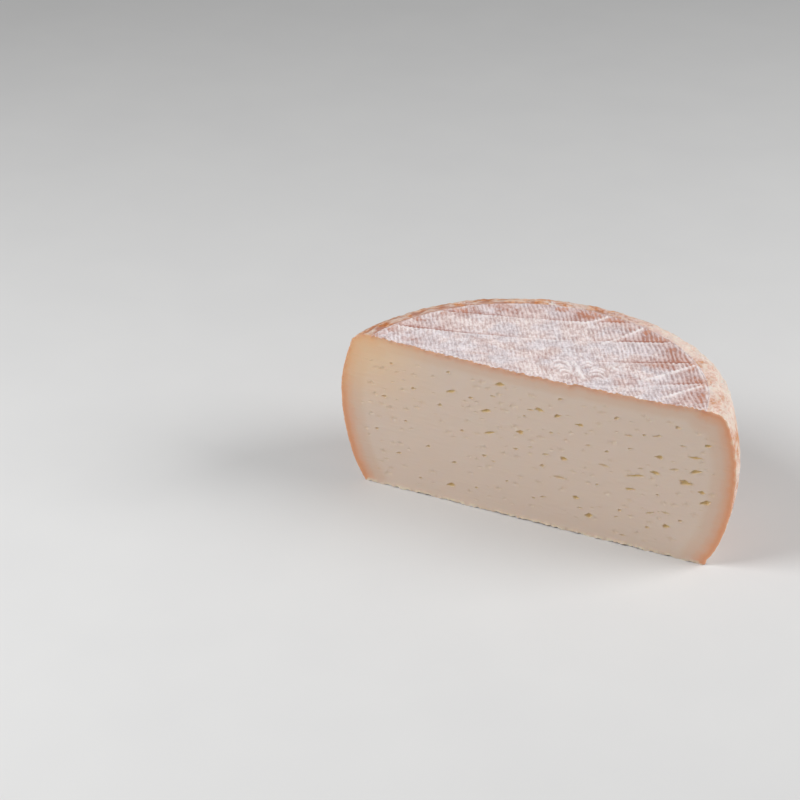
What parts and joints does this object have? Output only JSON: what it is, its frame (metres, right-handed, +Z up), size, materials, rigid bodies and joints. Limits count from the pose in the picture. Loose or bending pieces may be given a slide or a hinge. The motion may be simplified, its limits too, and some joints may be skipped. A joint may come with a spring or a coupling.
{
  "type": "goat cheese half",
  "caption": "Thick washed-rind goat cheese wheel cut down beside its middle: flat ivory cut face with small eyes, cloth-pleated dished top and a bulging bloomy rind.",
  "frame": {"origin": "under the middle of the piece, on the surface it stands on", "axes": "+X along the cut face, +Y from the cut face to the rind at the back, +Z up from the foot to the cloth-marked top"},
  "size_m": [0.1982, 0.0865, 0.0799],
  "materials": {
    "cheese": "matte ivory paste with an orange rind under white bloom"
  },
  "bodies": {
    "root": {"cheese_half": "cheese"}
  },
  "joints": []
}
